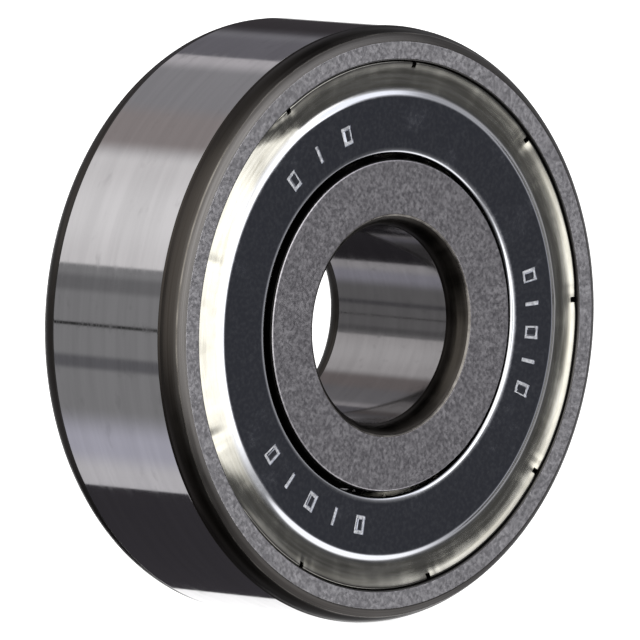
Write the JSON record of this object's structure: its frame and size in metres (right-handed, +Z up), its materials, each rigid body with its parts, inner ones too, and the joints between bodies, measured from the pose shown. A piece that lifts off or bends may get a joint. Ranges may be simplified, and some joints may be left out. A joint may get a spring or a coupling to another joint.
{
  "type": "shielded ball bearing",
  "caption": "Deep-groove ball bearing with ground rings, a riveted ribbon cage and a pressed-steel shield on each side.",
  "frame": {"origin": "centre of the bearing, on its axis at mid-width", "axes": "+Y along the axis of rotation, away from the marked front shield; +Z up as the bearing stands on its rim"},
  "size_m": [0.0286, 0.0096, 0.0286],
  "materials": {
    "ring_steel": "ground and polished bearing steel",
    "shield_steel": "bright pressed sheet, smooth plate with a yellowish plated hem",
    "cage_steel": "pressed sheet, dull",
    "ball_steel": "mirror polished",
    "rivet_steel": "drawn wire, headed cold"
  },
  "bodies": {
    "outer": {"outer_ring": "ring_steel", "front_shield": "shield_steel", "back_shield": "shield_steel"},
    "inner": {"inner_ring": "ring_steel"},
    "cage": {"cage_front": "cage_steel", "cage_back": "cage_steel", "rivet_1": "rivet_steel", "rivet_2": "rivet_steel", "rivet_3": "rivet_steel", "rivet_4": "rivet_steel", "rivet_5": "rivet_steel", "rivet_6": "rivet_steel", "rivet_7": "rivet_steel"},
    "ball_1": {"ball_1": "ball_steel"},
    "ball_2": {"ball_2": "ball_steel"},
    "ball_3": {"ball_3": "ball_steel"},
    "ball_4": {"ball_4": "ball_steel"},
    "ball_5": {"ball_5": "ball_steel"},
    "ball_6": {"ball_6": "ball_steel"},
    "ball_7": {"ball_7": "ball_steel"}
  },
  "joints": [
    {"name": "inner_spin", "type": "hinge", "parent": "outer", "child": "inner", "pos_m": [0, 0, 0], "axis": [0, 1, 0], "continuous": true},
    {"name": "cage_spin", "type": "hinge", "parent": "outer", "child": "cage", "pos_m": [0, 0, 0], "axis": [0, 1, 0], "continuous": true},
    {"name": "ball_1_spin", "type": "hinge", "parent": "cage", "child": "ball_1", "pos_m": [0, 0, 0.00953], "axis": [0, 1, 0], "continuous": true},
    {"name": "ball_2_spin", "type": "hinge", "parent": "cage", "child": "ball_2", "pos_m": [-0.00745, 0, 0.00594], "axis": [0, 1, 0], "continuous": true},
    {"name": "ball_3_spin", "type": "hinge", "parent": "cage", "child": "ball_3", "pos_m": [-0.00929, 0, -0.00212], "axis": [0, 1, 0], "continuous": true},
    {"name": "ball_4_spin", "type": "hinge", "parent": "cage", "child": "ball_4", "pos_m": [-0.00413, 0, -0.00858], "axis": [0, 1, 0], "continuous": true},
    {"name": "ball_5_spin", "type": "hinge", "parent": "cage", "child": "ball_5", "pos_m": [0.00413, 0, -0.00858], "axis": [0, 1, 0], "continuous": true},
    {"name": "ball_6_spin", "type": "hinge", "parent": "cage", "child": "ball_6", "pos_m": [0.00929, 0, -0.00212], "axis": [0, 1, 0], "continuous": true},
    {"name": "ball_7_spin", "type": "hinge", "parent": "cage", "child": "ball_7", "pos_m": [0.00745, 0, 0.00594], "axis": [0, 1, 0], "continuous": true}
  ],
  "couplings": [
    {"joint": "cage_spin", "follows": "inner_spin", "ratio": 0.375},
    {"joint": "ball_1_spin", "follows": "inner_spin", "ratio": -1.875},
    {"joint": "ball_2_spin", "follows": "inner_spin", "ratio": -1.875},
    {"joint": "ball_3_spin", "follows": "inner_spin", "ratio": -1.875},
    {"joint": "ball_4_spin", "follows": "inner_spin", "ratio": -1.875},
    {"joint": "ball_5_spin", "follows": "inner_spin", "ratio": -1.875},
    {"joint": "ball_6_spin", "follows": "inner_spin", "ratio": -1.875},
    {"joint": "ball_7_spin", "follows": "inner_spin", "ratio": -1.875}
  ]
}
